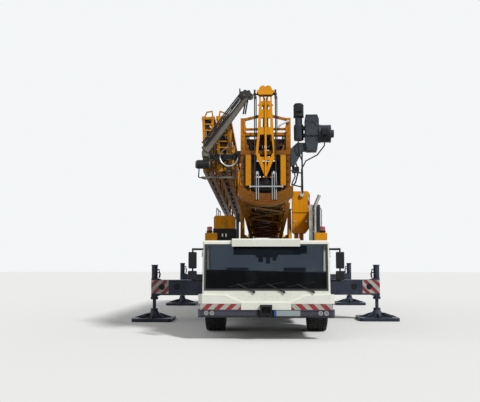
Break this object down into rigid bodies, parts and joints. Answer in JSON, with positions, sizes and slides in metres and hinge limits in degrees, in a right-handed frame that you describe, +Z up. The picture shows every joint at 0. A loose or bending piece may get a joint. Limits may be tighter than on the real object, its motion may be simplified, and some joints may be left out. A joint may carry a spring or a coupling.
{
  "type": "fast-erecting mobile construction crane on a low-cab truck carrier",
  "caption": "Truck crane parked on its outriggers: low cab, steered front axle, slewing platform, telescopic lattice mast laid forward and a lattice jib folded along it.",
  "frame": {"origin": "on the ground, at the middle of the crane's outline seen from above", "axes": "+Y to the rear of the carrier, +X to its left-hand side as driven, +Z up"},
  "size_m": [6.98, 12.3597, 5.1228],
  "materials": {
    "beacon": "clear orange",
    "black": "matt",
    "bumper_grey": "satin",
    "cab_white": "gloss enamel",
    "crane_yellow": "satin enamel",
    "frame_grey": "satin enamel",
    "glass": "clear tinted",
    "lamp_glass": "clear",
    "machine_grey": "satin enamel",
    "rim_paint": "satin",
    "rod_chrome": "polished",
    "steel": "brushed",
    "tyre": "matt"
  },
  "bodies": {
    "carrier": {"chassis_frame": "frame_grey", "deck": "frame_grey", "cab_shell": "cab_white", "cab_glass": "glass", "cab_interior": "black", "front_bumper": "bumper_grey", "headlamps": "lamp_glass", "tow_coupling": "black", "mirrors": "black", "beacon_brackets": "crane_yellow", "beacons": "beacon", "engine_block": "machine_grey", "side_lockers": "frame_grey", "axles": "frame_grey", "outrigger_sleeves": "frame_grey", "slewing_ring": "machine_grey"},
    "door_left": {"door_left": "cab_white", "door_glass_left": "glass"},
    "knuckle_left": {"knuckle_left": "frame_grey"},
    "wheel_left_1": {"tyre_left_1": "tyre", "rim_left_1": "rim_paint"},
    "wheel_left_2": {"tyre_left_2": "tyre", "rim_left_2": "rim_paint"},
    "wheel_left_3": {"tyre_left_3": "tyre", "rim_left_3": "rim_paint"},
    "door_right": {"door_right": "cab_white", "door_glass_right": "glass"},
    "knuckle_right": {"knuckle_right": "frame_grey"},
    "wheel_right_1": {"tyre_right_1": "tyre", "rim_right_1": "rim_paint"},
    "wheel_right_2": {"tyre_right_2": "tyre", "rim_right_2": "rim_paint"},
    "wheel_right_3": {"tyre_right_3": "tyre", "rim_right_3": "rim_paint"},
    "beam_front_left": {"beam_front_left": "frame_grey"},
    "jack_front_left": {"jack_front_left": "frame_grey"},
    "beam_front_right": {"beam_front_right": "frame_grey"},
    "jack_front_right": {"jack_front_right": "frame_grey"},
    "beam_rear_left": {"beam_rear_left": "frame_grey"},
    "jack_rear_left": {"jack_rear_left": "frame_grey"},
    "beam_rear_right": {"beam_rear_right": "frame_grey"},
    "jack_rear_right": {"jack_rear_right": "frame_grey"},
    "platform": {"slew_platform": "crane_yellow", "ballast_block": "crane_yellow", "control_cabinet": "black", "side_block": "crane_yellow", "generator_set": "machine_grey", "exhaust": "steel", "mast_cradle": "crane_yellow"},
    "mast": {"outer_mast": "crane_yellow"},
    "luff_barrels": {"cylinder_barrels": "black"},
    "luff_rods": {"cylinder_rods": "rod_chrome"},
    "inner_mast": {"inner_mast": "crane_yellow", "mast_head": "crane_yellow", "top_strut": "crane_yellow", "winch_gear": "machine_grey"},
    "jib_root": {"jib_root": "crane_yellow", "guy_strut": "machine_grey"},
    "jib_mid": {"jib_mid": "crane_yellow"},
    "jib_tip": {"jib_tip": "crane_yellow"}
  },
  "joints": [
    {"name": "door_left_hinge", "type": "hinge", "parent": "carrier", "child": "door_left", "pos_m": [-1.306, -5.523, 1.3], "axis": [0, 0, 1], "range_deg": [0, 75]},
    {"name": "steer_left", "type": "hinge", "parent": "carrier", "child": "knuckle_left", "pos_m": [-0.96, -3.65, 0.745], "axis": [0, 0, 1], "range_deg": [-32, 32]},
    {"name": "spin_left_1", "type": "hinge", "parent": "knuckle_left", "child": "wheel_left_1", "pos_m": [-1.1525, -3.65, 0.745], "axis": [1, 0, 0], "continuous": true},
    {"name": "spin_left_2", "type": "hinge", "parent": "carrier", "child": "wheel_left_2", "pos_m": [-1.1525, 0.85, 0.745], "axis": [1, 0, 0], "continuous": true},
    {"name": "spin_left_3", "type": "hinge", "parent": "carrier", "child": "wheel_left_3", "pos_m": [-1.1525, 2.55, 0.745], "axis": [1, 0, 0], "continuous": true},
    {"name": "door_right_hinge", "type": "hinge", "parent": "carrier", "child": "door_right", "pos_m": [1.306, -5.523, 1.3], "axis": [0, 0, -1], "range_deg": [0, 75]},
    {"name": "steer_right", "type": "hinge", "parent": "carrier", "child": "knuckle_right", "pos_m": [0.96, -3.65, 0.745], "axis": [0, 0, 1], "range_deg": [-32, 32]},
    {"name": "spin_right_1", "type": "hinge", "parent": "knuckle_right", "child": "wheel_right_1", "pos_m": [1.1525, -3.65, 0.745], "axis": [1, 0, 0], "continuous": true},
    {"name": "spin_right_2", "type": "hinge", "parent": "carrier", "child": "wheel_right_2", "pos_m": [1.1525, 0.85, 0.745], "axis": [1, 0, 0], "continuous": true},
    {"name": "spin_right_3", "type": "hinge", "parent": "carrier", "child": "wheel_right_3", "pos_m": [1.1525, 2.55, 0.745], "axis": [1, 0, 0], "continuous": true},
    {"name": "extend_front_left", "type": "slide", "parent": "carrier", "child": "beam_front_left", "axis": [1, 0, 0], "range_m": [0, 1.65]},
    {"name": "jack_lift_front_left", "type": "slide", "parent": "beam_front_left", "child": "jack_front_left", "axis": [0, 0, 1], "range_m": [0, 0.2]},
    {"name": "extend_front_right", "type": "slide", "parent": "carrier", "child": "beam_front_right", "axis": [-1, 0, 0], "range_m": [0, 1.65]},
    {"name": "jack_lift_front_right", "type": "slide", "parent": "beam_front_right", "child": "jack_front_right", "axis": [0, 0, 1], "range_m": [0, 0.2]},
    {"name": "extend_rear_left", "type": "slide", "parent": "carrier", "child": "beam_rear_left", "axis": [1, 0, 0], "range_m": [0, 1.65]},
    {"name": "jack_lift_rear_left", "type": "slide", "parent": "beam_rear_left", "child": "jack_rear_left", "axis": [0, 0, 1], "range_m": [0, 0.2]},
    {"name": "extend_rear_right", "type": "slide", "parent": "carrier", "child": "beam_rear_right", "axis": [-1, 0, 0], "range_m": [0, 1.65]},
    {"name": "jack_lift_rear_right", "type": "slide", "parent": "beam_rear_right", "child": "jack_rear_right", "axis": [0, 0, 1], "range_m": [0, 0.2]},
    {"name": "slew", "type": "hinge", "parent": "carrier", "child": "platform", "pos_m": [0, 1.9, 1.7], "axis": [0, 0, 1], "continuous": true},
    {"name": "luff", "type": "hinge", "parent": "platform", "child": "mast", "pos_m": [0, 3.2, 2.38], "axis": [-1, 0, 0], "range_deg": [-3.47, 86.53]},
    {"name": "barrel_hinge", "type": "hinge", "parent": "platform", "child": "luff_barrels", "pos_m": [0, -1, 2.2], "axis": [1, 0, 0], "range_deg": [-0.98, 23.9]},
    {"name": "rod_slide", "type": "slide", "parent": "luff_barrels", "child": "luff_rods", "axis": [0, 1, 0.0067], "range_m": [-0.0701, 1.7373]},
    {"name": "telescope", "type": "slide", "parent": "mast", "child": "inner_mast", "axis": [0, -0.9982, 0.0605], "range_m": [0, 6.5]},
    {"name": "jib_fold", "type": "hinge", "parent": "inner_mast", "child": "jib_root", "pos_m": [0, -5.37846, 3.82186], "axis": [1, 0, 0], "range_deg": [0, 90]},
    {"name": "jib_mid_fold", "type": "hinge", "parent": "jib_root", "child": "jib_mid", "pos_m": [-0.6, 3.85973, 3.51214], "axis": [0, -0.0605, -0.9982], "range_deg": [0, 180]},
    {"name": "jib_tip_fold", "type": "hinge", "parent": "jib_mid", "child": "jib_tip", "pos_m": [-1.045, -5.65236, 3.51788], "axis": [0, 0.0605, 0.9982], "range_deg": [0, 180]}
  ],
  "couplings": [
    {"joint": "steer_right", "follows": "steer_left", "ratio": 1},
    {"joint": "barrel_hinge", "follows": "luff", "ratio": 0.276},
    {"joint": "rod_slide", "follows": "luff", "m_per_rad": 1.15},
    {"joint": "jib_tip_fold", "follows": "jib_mid_fold", "ratio": 1}
  ]
}
